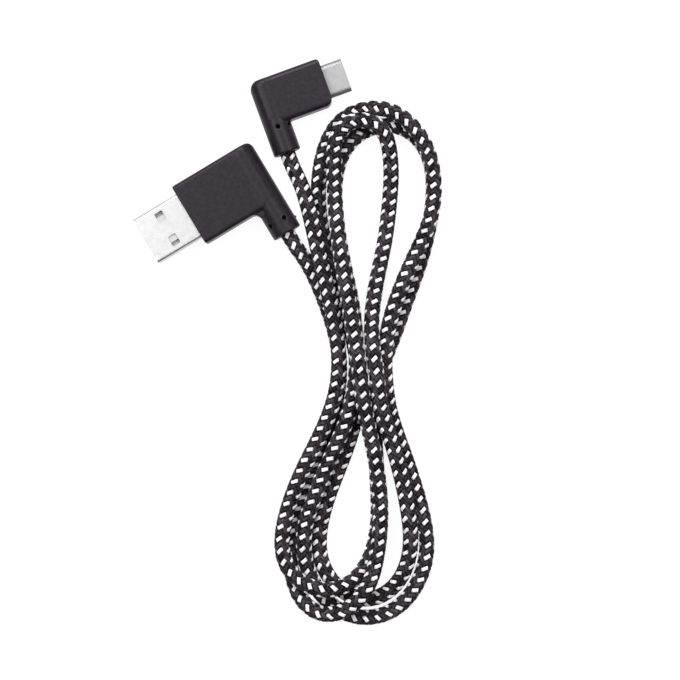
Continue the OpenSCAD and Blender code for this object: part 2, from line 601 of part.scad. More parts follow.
// How the cord lies between the plugs, loop by loop: "down" runs go towards -Y
LAY = [
    // Down from the USB-C plug, over the waist
    [14.5, -6, 3.8], [16.5, -13.5, 5.3], [18.5, -23, 5.5], [21, -32.5, 5.6], [23, -42.5, 5.8],
    [23.5, -50.5, 5.8],
    // First lower loop
    [22, -58.5, 5.8], [18.5, -66.5, 5.6], [14.5, -74, 5.3], [11, -82.5, 5.2], [9, -91.5, 5.4],
    [10.5, -98, 6.2], [15, -102, 6.9], [21.5, -103.5, 7.1], [27.5, -101, 4.2],
    [31.5, -95, 1.8], [33, -86.5, 1.8], [32.5, -77, 1.8], [32, -67, 1.8], [31.5, -58.5, 1.8],
    // First upper loop, the outer one on the right
    [33, -50.5, 1.8], [36.5, -42.5, 1.8], [39.5, -33.5, 1.8], [43, -24.5, 1.8], [45.5, -14.5, 1.8],
    [46.5, -5, 1.8], [45, 3, 1.8], [40, 8.5, 1.8], [33, 9.5, 1.8], [26, 6, 1.8],
    [22.5, -1, 1.8], [22, -9, 1.8], [23, -17, 3], [24.5, -25.5, 5.1], [26.5, -34, 5.5],
    [27.5, -43, 5.8],
    // Second lower loop
    [27.5, -52, 5.8], [26, -60.5, 5.6], [22.5, -68.5, 5.3], [18.5, -77.5, 5.2], [15, -86.5, 5.2],
    [14.5, -94, 4.9], [16.5, -101.5, 2.2], [21, -107.5, 1.8],
    [28.5, -111, 1.8], [37, -109, 1.8], [42.5, -102.5, 1.8], [45, -94.5, 1.8], [44, -86.5, 1.8],
    [41.5, -77.5, 1.8], [38.5, -69, 1.8], [35.5, -61, 3.5],
    // Second upper loop, on the first one's right-hand run
    [34.5, -54.5, 5.6], [34, -47, 5.8], [35, -39.5, 5.8], [37.5, -31.5, 5.8], [41, -23.5, 5.8],
    [45.5, -14.5, 5.8], [46.5, -6, 5.8], [45, 3, 5.9], [40, 10, 6], [34, 13.5, 3.8],
    [26, 12.5, 1.8], [21, 7.5, 1.8], [18.5, -0.5, 1.8], [18, -9.5, 1.8], [19.5, -19.5, 1.8],
    [22.5, -28.5, 1.8], [25.5, -37.5, 1.8], [27.5, -46.5, 1.8],
    // Third lower loop
    [28.5, -55, 1.8], [27, -64, 1.8], [23.5, -73.5, 1.8], [20, -82, 1.8], [18, -91, 1.8],
    [19, -98.5, 1.8], [24.5, -105, 1.8],
    [32, -106.5, 1.8], [38.5, -101.5, 2.2], [41, -93, 4.2], [40, -84, 5.1], [38, -74.5, 5.1],
    [35.5, -66, 5.9], [33, -59.5, 8.1],
    // Third upper loop, the narrow one
    [32.5, -52.5, 9.4], [31, -44.5, 8.8], [31, -36.5, 5.9], [32.5, -27.5, 2.8], [34.5, -19, 1.8],
    [35.5, -10, 1.8], [36, -3, 2.8], [35.5, 3, 4.6], [34.5, 6.5, 5.6], [32, 9, 6.3], [28.5, 10, 6.5],
    [25, 9, 6.3], [22.5, 6, 6], [22, 2.5, 5.8], [22, -6, 5.8], [23, -18, 7.5],
    [24.5, -27.5, 9.4], [26, -36.5, 9.5], [27.5, -45, 10],
    // Fourth lower loop
    [28.5, -52.5, 10.7], [29, -59, 9.6], [31.5, -68.5, 5.9], [33, -77.5, 5.7], [33.5, -86, 5.8],
    [32.5, -95, 6.6], [30.5, -102.5, 7.7], [26, -107.5, 6.8], [20.5, -109.5, 5.8], [15.5, -107.5, 4.8],
    [12.5, -103, 3.1], [11.5, -97.5, 1.8], [11.5, -90.5, 1.8], [14, -82, 1.8], [18, -73, 1.8],
    [21.5, -63.5, 1.8], [23.5, -54, 1.8],
    // Back up to the USB-A plug
    [23.5, -45.5, 1.8], [21, -36.5, 1.8], [18, -29, 2], [15.5, -24, 2.9]
];

end_step = 2;       // spacing of the route's points where it runs straight out of the sleeves
tube_steps = 2;     // rings of the cord's tube to a span of the route, and its sides
tube_sides = 8;
measure_steps = 6;  // points to a span on which the cord is measured
measure_skip = 14;  // and how many of them apart two stretches count as two

ROUTE = concat(
    [for (k = [0 : 3]) on_usb_c(usb_c_axis_x, usb_c_seat_y + k * end_step)],
    LAY,
    [for (k = [3 : -1 : 0]) on_usb_a(usb_a_axis_x, usb_a_seat_y + k * end_step)]
);

// Uniform cubic B-spline through the span from b to c
function spline(a, b, c, d, t) =
    (pow(1 - t, 3) * a + (3 * pow(t, 3) - 6 * t * t + 4) * b
        + (1 + 3 * t + 3 * t * t - 3 * pow(t, 3)) * c + pow(t, 3) * d) / 6;

// Points along a route, so many to a span, from its first point to its last
function along(route, per_span) =
    let (
        last = len(route) - 1,
        ext = concat([2 * route[0] - route[1]], route, [2 * route[last] - route[last - 1]])
    )
    concat(
        [for (i = [0 : last - 1], k = [0 : per_span - 1])
            spline(ext[i], ext[i + 1], ext[i + 2], ext[i + 3], k / per_span)],
        [route[last]]
    );

function unit(v) = v / norm(v);

// Tube round a line of points that never stands upright
module tube(points, d, sides) {
    last = len(points) - 1;
    rings = [
        for (i = [0 : last])
            let (
                way = unit(points[min(i + 1, last)] - points[max(i - 1, 0)]),
                side = unit(cross([0, 0, 1], way)),
                up = cross(way, side)
            )
            for (k = [0 : sides - 1])
                points[i] + d / 2 * (cos(360 * (k + 0.5) / sides) * side + sin(360 * (k + 0.5) / sides) * up)
    ];
    walls = [
        for (i = [0 : last - 1], k = [0 : sides - 1])
            let (a = i * sides + k, b = i * sides + (k + 1) % sides)
            each [[a, a + sides, b], [b, a + sides, b + sides]]
    ];
    first_cap = [for (k = [1 : sides - 2]) [0, k, k + 1]];
    last_cap = [for (k = [1 : sides - 2]) [last * sides, last * sides + k + 1, last * sides + k]];
    polyhedron(rings, concat(walls, first_cap, last_cap));
}

// Least distance between the middles of two stretches of cord that lie apart along it
function least_apart(points, skip) = min([
    for (i = [0 : len(points) - 1 - skip])
        min([for (j = [i + skip : len(points) - 1]) norm(points[i] - points[j])])
]);

function run_length(points, i = 0, sum = 0) =
    i >= len(points) - 1 ? sum : run_length(points, i + 1, sum + norm(points[i + 1] - points[i]));

module braided_cord() {
    fine = along(ROUTE, measure_steps);
    echo(cord_length = run_length(fine), least_gap_to_itself = least_apart(fine, measure_skip) - cord_d);
    color([0.13, 0.13, 0.14]) tube(along(ROUTE, tube_steps), cord_d, tube_sides);
}

place_usb_a() usb_a_housing();
place_usb_a() usb_a_shell();
place_usb_a() usb_a_insulator();
place_usb_a() color("gold") usb_a_contact(-usb_a_outer_y, usb_a_power_front, 0, 0);  // usb_a_contact_vbus
place_usb_a() color("gold") usb_a_contact(-usb_a_inner_y, usb_a_data_front, usb_a_tail_drop, 0);  // usb_a_contact_dminus
place_usb_a() color("gold") usb_a_contact(usb_a_inner_y, usb_a_data_front, usb_a_tail_drop, 0);  // usb_a_contact_dplus
place_usb_a() color("gold") usb_a_contact(usb_a_outer_y, usb_a_power_front, 0, 0);  // usb_a_contact_gnd
place_usb_a() usb_a_inner_mould();
place_usb_a() color("red") usb_a_wire(-1, -usb_a_outer_y);  // usb_a_wire_red
place_usb_a() color("white") usb_a_wire(-1, -usb_a_inner_y);  // usb_a_wire_white
place_usb_a() color("green") usb_a_wire(1, usb_a_inner_y);  // usb_a_wire_green
place_usb_a() color("black") usb_a_wire(1, usb_a_outer_y);  // usb_a_wire_black
place_usb_a() usb_a_jacket_end();
place_usb_c() usb_c_housing();
place_usb_c() usb_c_shell();
place_usb_c() usb_c_insulator();
place_usb_c() color("gold") usb_c_row(usb_c_upper_strips, 1, 0);  // usb_c_contacts_upper
place_usb_c() color("gold") usb_c_row(usb_c_lower_strips, -1, 0);  // usb_c_contacts_lower
place_usb_c() color("silver") usb_c_latch(0);  // usb_c_latch_spring
place_usb_c() color("silver") usb_c_spring(1, 0);  // usb_c_emi_spring_top
place_usb_c() color("silver") usb_c_spring(-1, 0);  // usb_c_emi_spring_bottom
place_usb_c() usb_c_paddle_card();
place_usb_c() color([0.1, 0.1, 0.1]) usb_c_resistor_of(0);  // usb_c_resistor
place_usb_c() usb_c_inner_mould();
place_usb_c() color("red") usb_c_wire(-1, -usb_c_power_y, true);  // usb_c_wire_red
place_usb_c() color("white") usb_c_wire(-1, -usb_c_data_y, false);  // usb_c_wire_white
place_usb_c() color("green") usb_c_wire(1, usb_c_data_y, false);  // usb_c_wire_green
place_usb_c() color("black") usb_c_wire(1, usb_c_power_y, true);  // usb_c_wire_black
place_usb_c() usb_c_jacket_end();
braided_cord();
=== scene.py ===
"""Charging cable: a braided cord in a figure-eight hank between two right-angle USB plugs.

The plugs keep the frame's pieces and places. Their soft housings and metal shells are rounded
copies of the frame's meshes, and the cord is a real braid of sixteen strands laid along the
frame's route.
"""
import math

import bmesh
import bpy
import numpy as np
from mathutils import Matrix, Vector


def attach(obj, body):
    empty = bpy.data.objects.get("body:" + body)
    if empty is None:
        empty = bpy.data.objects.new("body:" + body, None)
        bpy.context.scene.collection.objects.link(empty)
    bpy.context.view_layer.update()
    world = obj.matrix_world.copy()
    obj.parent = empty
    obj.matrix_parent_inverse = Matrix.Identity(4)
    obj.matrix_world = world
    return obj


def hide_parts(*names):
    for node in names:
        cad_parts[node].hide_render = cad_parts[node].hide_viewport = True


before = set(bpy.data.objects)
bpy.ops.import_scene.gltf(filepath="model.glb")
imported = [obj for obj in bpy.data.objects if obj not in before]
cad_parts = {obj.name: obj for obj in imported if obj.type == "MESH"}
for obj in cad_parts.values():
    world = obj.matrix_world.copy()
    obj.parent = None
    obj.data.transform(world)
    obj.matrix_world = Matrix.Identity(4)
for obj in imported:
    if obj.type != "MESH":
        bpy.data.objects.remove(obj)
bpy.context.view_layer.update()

MM = 0.001
ROOT = "root"


# ---- Where the plugs lie, as in the part's source ----

USB_A_PLACE = (Matrix.Translation((-12.8 * MM, -13.1 * MM, 3.65 * MM))
               @ Matrix.Rotation(math.radians(211), 4, "Z"))
USB_C_PLACE = (Matrix.Translation((20.1 * MM, 19.2 * MM, 3.35 * MM))
               @ Matrix.Rotation(math.radians(20), 4, "Z")
               @ Matrix.Rotation(math.radians(180), 4, "X"))

# Each plug in its own frame, in millimetres: the sleeve's axis and radius, where the cord's seat
# and the pin holes are along it, the height of the body's flat face over the plug's middle, how
# far across that face the crease beside the sleeve is filled and how softly, the shell's height
# and how much its cut edges are broken
USB_A = {"axis_x": -18.15, "sleeve_r": 3.65, "seat_y": 13.75, "pin_y": 12.3, "top": 3.55,
         "crease_y": 6.9, "soft": 0.18, "shell_h": 4.5, "bevel": 0.06}
USB_C = {"axis_x": -14.55, "sleeve_r": 3.35, "seat_y": 10.95, "pin_y": 6.45, "top": 3.2,
         "crease_y": 4.5, "soft": 0.24, "shell_h": 2.4, "bevel": 0.08}
END_POINTS, END_STEP = 4, 2   # the route's points at each straight end, and their spacing


# ---- Camera ----

VIEW_CENTRE = (23.5 * MM, -43 * MM)   # what lies at the middle of the picture
VIEW_HEIGHT = 480 * MM
VIEW_WIDTH = 165.24 * MM              # how much of the table the picture takes in
SENSOR_WIDTH = 36


def make_camera():
    """A camera that looks straight down."""
    data = bpy.data.cameras.new("camera")
    data.sensor_width = SENSOR_WIDTH
    data.lens = data.sensor_width * VIEW_HEIGHT / VIEW_WIDTH
    data.clip_start = 0.01
    camera = bpy.data.objects.new("camera", data)
    camera.location = (*VIEW_CENTRE, VIEW_HEIGHT)
    bpy.context.scene.collection.objects.link(camera)
    bpy.context.scene.camera = camera


# ---- The cord's route ----

# How the cord lies between the plugs, in millimetres, loop by loop
LAY = [
    # Down from the USB-C plug, over the waist
    (14.5, -6, 3.8), (16.5, -13.5, 5.3), (18.5, -23, 5.5), (21, -32.5, 5.6), (23, -42.5, 5.8),
    (23.5, -50.5, 5.8),
    # First lower loop
    (22, -58.5, 5.8), (18.5, -66.5, 5.6), (14.5, -74, 5.3), (11, -82.5, 5.2), (9, -91.5, 5.4),
    (10.5, -98, 6.2), (15, -102, 6.9), (21.5, -103.5, 7.1), (27.5, -101, 4.2),
    (31.5, -95, 1.8), (33, -86.5, 1.8), (32.5, -77, 1.8), (32, -67, 1.8), (31.5, -58.5, 1.8),
    # First upper loop, the outer one on the right
    (33, -50.5, 1.8), (36.5, -42.5, 1.8), (39.5, -33.5, 1.8), (43, -24.5, 1.8), (45.5, -14.5, 1.8),
    (46.5, -5, 1.8), (45, 3, 1.8), (40, 8.5, 1.8), (33, 9.5, 1.8), (26, 6, 1.8),
    (22.5, -1, 1.8), (22, -9, 1.8), (23, -17, 3), (24.5, -25.5, 5.1), (26.5, -34, 5.5),
    (27.5, -43, 5.8),
    # Second lower loop
    (27.5, -52, 5.8), (26, -60.5, 5.6), (22.5, -68.5, 5.3), (18.5, -77.5, 5.2), (15, -86.5, 5.2),
    (14.5, -94, 4.9), (16.5, -101.5, 2.2), (21, -107.5, 1.8),
    (28.5, -111, 1.8), (37, -109, 1.8), (42.5, -102.5, 1.8), (45, -94.5, 1.8), (44, -86.5, 1.8),
    (41.5, -77.5, 1.8), (38.5, -69, 1.8), (35.5, -61, 3.5),
    # Second upper loop, on the first one's right-hand run
    (34.5, -54.5, 5.6), (34, -47, 5.8), (35, -39.5, 5.8), (37.5, -31.5, 5.8), (41, -23.5, 5.8),
    (45.5, -14.5, 5.8), (46.5, -6, 5.8), (45, 3, 5.9), (40, 10, 6), (34, 13.5, 3.8),
    (26, 12.5, 1.8), (21, 7.5, 1.8), (18.5, -0.5, 1.8), (18, -9.5, 1.8), (19.5, -19.5, 1.8),
    (22.5, -28.5, 1.8), (25.5, -37.5, 1.8), (27.5, -46.5, 1.8),
    # Third lower loop
    (28.5, -55, 1.8), (27, -64, 1.8), (23.5, -73.5, 1.8), (20, -82, 1.8), (18, -91, 1.8),
    (19, -98.5, 1.8), (24.5, -105, 1.8),
    (32, -106.5, 1.8), (38.5, -101.5, 2.2), (41, -93, 4.2), (40, -84, 5.1), (38, -74.5, 5.1),
    (35.5, -66, 5.9), (33, -59.5, 8.1),
    # Third upper loop, the narrow one
    (32.5, -52.5, 9.4), (31, -44.5, 8.8), (31, -36.5, 5.9), (32.5, -27.5, 2.8), (34.5, -19, 1.8),
    (35.5, -10, 1.8), (36, -3, 2.8), (35.5, 3, 4.6), (34.5, 6.5, 5.6), (32, 9, 6.3),
    (28.5, 10, 6.5), (25, 9, 6.3), (22.5, 6, 6), (22, 2.5, 5.8), (22, -6, 5.8), (23, -18, 7.5),
    (24.5, -27.5, 9.4), (26, -36.5, 9.5), (27.5, -45, 10),
    # Fourth lower loop
    (28.5, -52.5, 10.7), (29, -59, 9.6), (31.5, -68.5, 5.9), (33, -77.5, 5.7), (33.5, -86, 5.8),
    (32.5, -95, 6.6), (30.5, -102.5, 7.7), (26, -107.5, 6.8), (20.5, -109.5, 5.8),
    (15.5, -107.5, 4.8), (12.5, -103, 3.1), (11.5, -97.5, 1.8), (11.5, -90.5, 1.8), (14, -82, 1.8),
    (18, -73, 1.8), (21.5, -63.5, 1.8), (23.5, -54, 1.8),
    # Back up to the USB-A plug
    (23.5, -45.5, 1.8), (21, -36.5, 1.8), (18, -29, 2), (15.5, -24, 2.9),
]


def sleeve_points(place, plug):
    """The route's first points, from the cord's seat out of a sleeve, in metres."""
    return [place @ Vector((plug["axis_x"] * MM, (plug["seat_y"] + k * END_STEP) * MM, 0))
            for k in range(END_POINTS)]


def cord_route():
    """The points that the cord's spline goes along, from seat to seat, in metres."""
    start = sleeve_points(USB_C_PLACE, USB_C)
    end = sleeve_points(USB_A_PLACE, USB_A)
    return np.vstack([start, np.array(LAY) * MM, end[::-1]])


def spline(route, per_span):
    """Points of the uniform cubic B-spline that starts and ends at the route's own ends."""
    ext = np.vstack([2 * route[0] - route[1], route, 2 * route[-1] - route[-2]])
    a, b, c, d = ext[:-3], ext[1:-2], ext[2:-1], ext[3:]
    t = (np.arange(per_span) / per_span)[None, :, None]
    a, b, c, d = (v[:, None, :] for v in (a, b, c, d))
    points = ((1 - t) ** 3 * a + (3 * t ** 3 - 6 * t ** 2 + 4) * b
              + (1 + 3 * t + 3 * t ** 2 - 3 * t ** 3) * c + t ** 3 * d) / 6
    return np.vstack([points.reshape(-1, 3), route[-1]])


def unit(v):
    return v / np.linalg.norm(v, axis=-1, keepdims=True)


PER_SPAN = 40          # points of the spline from one point of the route to the next
LINE_STEP = 0.2 * MM   # spacing of the points that the line is looked up in


class Centreline:
    """The cord's middle line with a frame that doesn't turn about it, looked up by length."""

    def __init__(self, points):
        lengths = np.concatenate([[0], np.cumsum(np.linalg.norm(np.diff(points, axis=0), axis=1))])
        self.length = float(lengths[-1])
        self.s = np.linspace(0, self.length, int(self.length / LINE_STEP) + 1)
        self.point = np.stack([np.interp(self.s, lengths, points[:, k]) for k in range(3)], axis=1)
        self.along = unit(np.gradient(self.point, axis=0))
        normals = [unit(np.cross([0.0, 0.0, 1.0], self.along[0]))]
        for way in self.along[1:]:
            last = normals[-1]
            normals.append(unit(last - way * np.dot(last, way)))
        self.side = np.array(normals)
        self.up = np.cross(self.along, self.side)

    def at(self, s, angle, radius):
        """Points at the lengths s, turned by angle about the line from side towards up."""
        look = [np.stack([np.interp(s, self.s, v[:, k]) for k in range(3)], axis=-1)
                for v in (self.point, self.side, self.up)]
        angle, radius = angle[..., None], radius[..., None]
        return look[0] + radius * (np.cos(angle) * look[1] + np.sin(angle) * look[2])


# ---- Meshes ----

def mesh_piece(name, vertices, faces, material, uv, tone_and_shade):
    """A smooth-shaded mesh object that rides on the part, with a random tone and a painted shade
    for every vertex.
    """
    mesh = bpy.data.meshes.new(name)
    mesh.from_pydata(np.asarray(vertices).tolist(), [], np.asarray(faces).tolist())
    mesh.polygons.foreach_set("use_smooth", [True] * len(mesh.polygons))
    layer = mesh.uv_layers.new(name="strand")
    corner = np.empty(len(mesh.loops), np.int32)
    mesh.loops.foreach_get("vertex_index", corner)
    layer.data.foreach_set("uv", uv[corner].ravel())
    mesh.attributes.new("tone_and_shade", "FLOAT", "POINT").data.foreach_set("value", tone_and_shade)
    mesh.materials.append(material)
    mesh.update()
    obj = bpy.data.objects.new(name, mesh)
    bpy.context.scene.collection.objects.link(obj)
    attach(obj, ROOT)
    return obj


def grid_faces(rows, columns):
    """Quads of a grid of rows by columns points."""
    i, j = np.meshgrid(np.arange(rows - 1), np.arange(columns - 1), indexing="ij")
    a = (i * columns + j).ravel()
    return np.stack([a, a + 1, a + columns + 1, a + columns], axis=1)


# ---- The braid ----

LEAD = 11.3 * MM             # length of one turn of a strand
CARRIERS = 8                 # strands wound each way
BRAID_R = 1.75 * MM          # radius at the middle of the braid
CREST_R = 1.91 * MM          # radius at the top of a float
CORE_R = 1.45 * MM           # the jacket under the braid
CORE_SIDES = 16
CORE_RING = 1.5 * MM         # spacing of the jacket's rings
BARE_END = 1.0 * MM          # how much of the cord at each end, in its sleeve, has no floats
FLOAT_EVERY = 4              # a strand goes over two others and under two
SINK = 0.42 * MM             # how far a float's ends go down under its neighbours
SINK_POWER = 1.3             # over 1, so that they start to go down softly
SKEW = math.radians(9.5)     # turn of every float about its own middle
PITCH = math.atan(2 * math.pi * BRAID_R / LEAD)

# How far the braid is turned about the cord's middle, in degrees, at lengths in millimetres
TWIST = [
    (0, 50), (20, 30), (35, 17), (60, 13), (100, 13), (120, -25), (330, -25), (350, -12),
    (385, -28), (415, -28), (465, 28), (490, 38), (505, 43), (520, 23), (550, 58), (625, 78),
    (640, 65), (665, 83), (690, 87), (710, 72), (722, 38), (740, 55), (760, 73), (775, 73),
    (792, 28), (800, 33), (815, 55), (845, 55), (860, 43), (876, 53), (900, 28), (910, 30),
    (925, 68),
]

# A float's shape: places along it and across it in half floats, where it starts to go down and
# where it is down, how far its edges are rounded off, its length and width next to the spacing
ROUND_FLOAT = {"along": (0.3, 0.7, 0.95, 1.15, 1.4), "across": (0.35, 0.8, 1), "down": (0.72, 1.4),
               "edge": (0.28 * MM, 2.3), "size": (1, 1.04)}
FLAT_FLOAT = {"along": (0.45, 0.84, 0.94, 1.02, 1.12, 1.3), "across": (0.4, 0.8, 0.94, 1),
              "down": (0.88, 1.2), "edge": (0.1 * MM, 5), "size": (0.8, 0.87)}

# How far one float differs from the next, as one standard deviation, and how far it can at most
UNEVEN_SLIP = 0.03 * MM            # along its strand
UNEVEN_LIE = math.radians(1.6)     # turn about its own middle
UNEVEN_LENGTH, UNEVEN_WIDTH = 0.04, 0.035
UNEVEN_TONE = 0.06
MOST_UNEVEN = 2
DOWN_PAINTED_SHADE = 0.3                    # painted shade: how much darker a float is where it goes down, and at its rounded edges
NEXT_FLOAT_UV, NEXT_STRAND_UV = 1.7, 2.3   # steps of the pattern, so that no two floats match


def float_patch(form):
    """One float of a strand over two others, on the flat: how far along and across the strand
    its points lie, how far they sink under the crest, and the places along and across."""
    t, w = (np.array([-v for v in form[k][::-1]] + list(form[k])) for k in ("along", "across"))
    t, w = np.meshgrid(t, w, indexing="ij")
    first, last = form["down"]
    down = np.clip((np.abs(t) - first) / (last - first), 0, 1)
    rounding, power = form["edge"]
    length, width = form["size"]
    half_length = LEAD / (2 * CARRIERS) / math.cos(PITCH) * length
    half_width = math.pi * BRAID_R / CARRIERS * math.cos(PITCH) * width
    sink = SINK * down ** SINK_POWER + rounding * np.abs(w) ** power
    return t * half_length, w * half_width, sink, t, w


def braid_floats(line, name, hand, carriers, material, form):
    """The floats of some strands that wind one way, hand being 1 for right and -1 for left."""
    along, across, sink, t, w = float_patch(form)
    step = LEAD / CARRIERS / 2   # from one crossing to the next along the cord
    rng = np.random.default_rng(11 + hand + len(carriers))
    vertices, uvs, tones_and_shades = [], [], []
    for carrier in carriers:
        # The first float's place, in crossings: two on from the strand beside it, and so that
        # one way lies under where the other lies over
        first = (0.5 - 2 * carrier) if hand > 0 else (2 * carrier - 2.5)
        count = int(line.length / (FLOAT_EVERY * step)) + 2 * CARRIERS
        for m in range(-count, count + 1):
            middle = (first + FLOAT_EVERY * m) * step
            if not BARE_END < middle < line.length - BARE_END:
                continue
            uneven = rng.normal(0, 1, 5).clip(-MOST_UNEVEN, MOST_UNEVEN)
            slip, swing, stretch, swell, lighter = uneven
            lie = PITCH + hand * SKEW + swing * UNEVEN_LIE
            u = along * (1 + UNEVEN_LENGTH * stretch) + slip * UNEVEN_SLIP
            v = across * (1 + UNEVEN_WIDTH * swell)
            s = middle + u * math.cos(lie) - hand * v * math.sin(lie)
            turn = 2 * math.pi * (carrier / CARRIERS + hand * middle / LEAD)
            turn += math.radians(np.interp(middle / MM, *np.transpose(TWIST)))
            angle = turn + (hand * u * math.sin(lie) + v * math.cos(lie)) / BRAID_R
            vertices.append(line.at(s, angle, CREST_R - sink).reshape(-1, 3))
            uvs.append(np.stack([(t + NEXT_FLOAT_UV * m).ravel(),
                                 w.ravel() + NEXT_STRAND_UV * carrier], axis=1))
            # each float's random tone, with painted shade where it sinks under its neighbours and
            # at its edges
            tones_and_shades.append((UNEVEN_TONE * lighter - DOWN_PAINTED_SHADE * np.minimum(sink / SINK, 1)).ravel())
    patch = grid_faces(*t.shape)
    size = t.size
    faces = np.vstack([patch + k * size for k in range(len(vertices))])
    return mesh_piece(name, np.vstack(vertices), faces, material, np.vstack(uvs),
                      np.concatenate(tones_and_shades))


def cord_core(line, material):
    """The round core that shows in the gaps of the braid, closed at both ends."""
    sides, rings = CORE_SIDES, int(line.length / CORE_RING)
    s, angle = np.meshgrid(np.linspace(0, line.length, rings),
                           np.linspace(0, 2 * math.pi, sides, False), indexing="ij")
    vertices = line.at(s, angle, np.full(s.shape, CORE_R)).reshape(-1, 3)
    faces = []
    for i in range(rings - 1):
        for k in range(sides):
            a, b = i * sides + k, i * sides + (k + 1) % sides
            faces.append([a, b, b + sides, a + sides])
    mesh = bpy.data.meshes.new("cord_core")
    ends = [list(range(sides))[::-1], [(rings - 1) * sides + k for k in range(sides)]]
    mesh.from_pydata(vertices.tolist(), [], faces + ends)
    mesh.polygons.foreach_set("use_smooth", [True] * len(faces) + [False] * 2)
    mesh.materials.append(material)
    obj = bpy.data.objects.new("cord_core", mesh)
    bpy.context.scene.collection.objects.link(obj)
    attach(obj, ROOT)
    return obj


def make_cord():
    """The cord: its core, which stands for the frame's cord, and three groups of strands."""
    route = cord_route()
    line = Centreline(spline(route, PER_SPAN))
    core = cord_core(line, moulded_material("braid_core", (0.004,) * 3, 0.8, specular=0.1))
    black = yarn_material("braid_black", (0.041, 0.0335, 0.0395), 0.6, 0.06, 0.0,
                          [(0.36, 0.04), (0.7, 2.3)])
    white = yarn_material("braid_white", (0.9, 0.875, 0.895), 0.55, 0.3, 0.1,
                          [(0.15, 0.42), (0.5, 0.97)])
    strands = [
        braid_floats(line, "braid_tracers_right", 1, range(0, CARRIERS, 2), white, FLAT_FLOAT),
        braid_floats(line, "braid_black_right", 1, range(1, CARRIERS, 2), black, ROUND_FLOAT),
        braid_floats(line, "braid_black_left", -1, range(CARRIERS), black, ROUND_FLOAT),
    ]
    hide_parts("braided_cord")
    print(f"cord {line.length:.4f} m")


# ---- Materials ----

def material_base(name, color, roughness, metallic=0.0):
    """A new material with its shader, and the coordinates that its patterns use."""
    material = bpy.data.materials.new(name)
    material.use_nodes = True
    nodes, links = material.node_tree.nodes, material.node_tree.links
    shader = nodes["Principled BSDF"]
    shader.inputs["Base Color"].default_value = (*color, 1)
    shader.inputs["Roughness"].default_value = roughness
    shader.inputs["Metallic"].default_value = metallic
    place = nodes.new("ShaderNodeTexCoord")
    return material, nodes, links, shader, place


def noise(nodes, links, vector, scale, detail=3.0, roughness=0.5):
    node = nodes.new("ShaderNodeTexNoise")
    node.inputs["Scale"].default_value = scale
    node.inputs["Detail"].default_value = detail
    node.inputs["Roughness"].default_value = roughness
    links.new(vector, node.inputs["Vector"])
    return node.outputs["Fac"]


def remap(nodes, links, value, low, high):
    node = nodes.new("ShaderNodeMapRange")
    node.inputs["To Min"].default_value = low
    node.inputs["To Max"].default_value = high
    links.new(value, node.inputs["Value"])
    return node.outputs["Result"]


def ramp(nodes, links, value, stops):
    """A colour ramp: stops are (place, colour), in rising order."""
    node = nodes.new("ShaderNodeValToRGB")
    elements = node.color_ramp.elements
    for k, (place, color) in enumerate(stops):
        element = elements[k] if k < len(elements) else elements.new(place)
        element.position = place
        element.color = (*color, 1)
    links.new(value, node.inputs["Fac"])
    return node.outputs["Color"]


def bump(nodes, links, shader, height, distance, strength=1.0):
    node = nodes.new("ShaderNodeBump")
    node.inputs["Strength"].default_value = strength
    node.inputs["Distance"].default_value = distance
    links.new(height, node.inputs["Height"])
    links.new(node.outputs["Normal"], shader.inputs["Normal"])


def shade(color, factor):
    return tuple(min(1.0, c * factor) for c in color)


YARN_RELIEF = 0.12 * MM   # height of the threads on a strand


def yarn_material(name, color, roughness, specular, sheen, stops):
    """Twisted filament yarn: threads along the strand, uneven from one float to the next, and
    painted darker where a float goes down, as shade. The stops are (place, factor on the colour)."""
    material, nodes, links, shader, _ = material_base(name, color, roughness)
    shader.inputs["Sheen Weight"].default_value = sheen
    shader.inputs["Sheen Roughness"].default_value = 0.4
    shader.inputs["Specular IOR Level"].default_value = specular
    strand = nodes.new("ShaderNodeUVMap")
    strand.uv_map = "strand"
    wave = nodes.new("ShaderNodeTexWave")
    wave.bands_direction = "Y"
    wave.inputs["Scale"].default_value = 1.6
    wave.inputs["Distortion"].default_value = 0.8
    wave.inputs["Detail"].default_value = 2
    wave.inputs["Detail Scale"].default_value = 1.5
    links.new(strand.outputs["UV"], wave.inputs["Vector"])
    patches = noise(nodes, links, strand.outputs["UV"], 1.9, 3, 0.75)
    mix = nodes.new("ShaderNodeMix")
    mix.data_type = "FLOAT"
    mix.inputs["Factor"].default_value = 0.75
    links.new(wave.outputs["Fac"], mix.inputs["A"])
    links.new(patches, mix.inputs["B"])
    # the floats' random tone and their painted shade where they go down
    tone_and_shade = nodes.new("ShaderNodeAttribute")
    tone_and_shade.attribute_name = "tone_and_shade"
    toned_and_shaded = nodes.new("ShaderNodeMath")
    toned_and_shaded.operation = "ADD"
    links.new(mix.outputs["Result"], toned_and_shaded.inputs[0])
    links.new(tone_and_shade.outputs["Fac"], toned_and_shaded.inputs[1])
    shown = ramp(nodes, links, toned_and_shaded.outputs["Value"], [(at, shade(color, f)) for at, f in stops])
    links.new(shown, shader.inputs["Base Color"])
    links.new(remap(nodes, links, patches, roughness - 0.08, roughness + 0.1),
              shader.inputs["Roughness"])
    bump(nodes, links, shader, mix.outputs["Result"], YARN_RELIEF, 0.9)
    return material


def moulded_material(name, color, roughness=0.55, grain=0.012, specular=0.42, mottle=(160, 0.08)):
    """Moulded plastic or rubber with a fine eroded grain, its height in millimetres. The mottle
    is the scale of its patches and how much their tone varies."""
    material, nodes, links, shader, place = material_base(name, color, roughness)
    shader.inputs["Specular IOR Level"].default_value = specular
    fine = noise(nodes, links, place.outputs["Object"], 2600, 4, 0.65)
    scale, change = mottle
    broad = noise(nodes, links, place.outputs["Object"], scale, 2)
    shown = ramp(nodes, links, broad,
                 [(0.3, shade(color, 1 - change)), (0.7, shade(color, 1 + change))])
    links.new(shown, shader.inputs["Base Color"])
    links.new(remap(nodes, links, fine, roughness - 0.06, roughness + 0.08),
              shader.inputs["Roughness"])
    bump(nodes, links, shader, fine, grain * MM)
    return material


